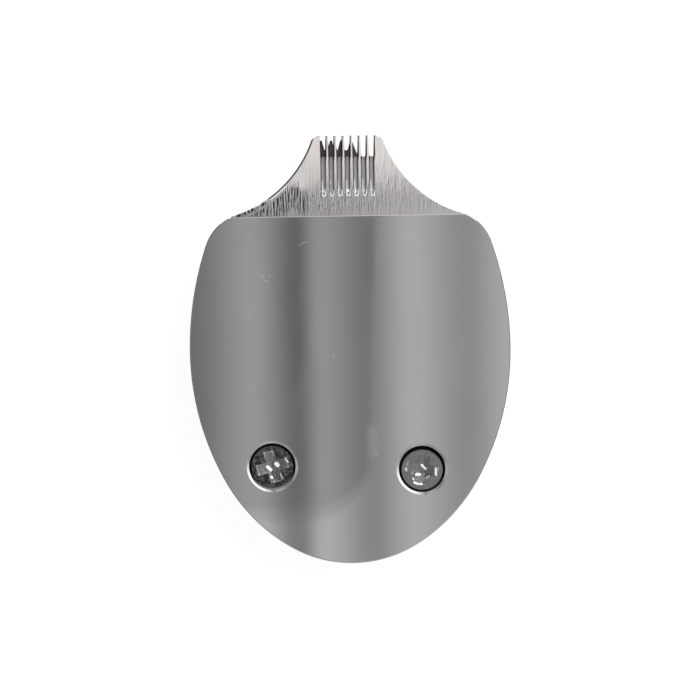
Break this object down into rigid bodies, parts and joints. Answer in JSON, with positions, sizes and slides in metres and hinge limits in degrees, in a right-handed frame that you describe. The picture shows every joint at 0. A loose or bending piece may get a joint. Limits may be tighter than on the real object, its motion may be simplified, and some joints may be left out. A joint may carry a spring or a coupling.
{
  "type": "hair trimmer blade set",
  "caption": "Narrow detail blade set for a hair trimmer: steel shield with a toothed tip, sliding cutter behind it, sprung yoke and moulded plug-in base",
  "frame": {"origin": "centre of the bounding box at the bottom, on the rim that the part rests on", "axes": "+X right, +Y towards the tooth tips, +Z out of the front of the shield"},
  "size_m": [0.032, 0.0428, 0.0107],
  "materials": {
    "ground_steel": "ground and polished",
    "dark_steel": "ground, oil dark",
    "white_plastic": "moulded",
    "spring_wire": "drawn",
    "black_plastic": "fine moulded grain",
    "screw_steel": "turned"
  },
  "bodies": {
    "blade_body": {"fixed_blade": "ground_steel", "blade_base": "black_plastic", "pressure_spring": "spring_wire", "blade_screws": "screw_steel"},
    "cutter_body": {"moving_cutter": "dark_steel", "drive_yoke": "white_plastic"}
  },
  "joints": [
    {"name": "cutter_slide", "type": "slide", "parent": "blade_body", "child": "cutter_body", "axis": [1, 0, 0], "range_m": [0, 0.0022]}
  ]
}
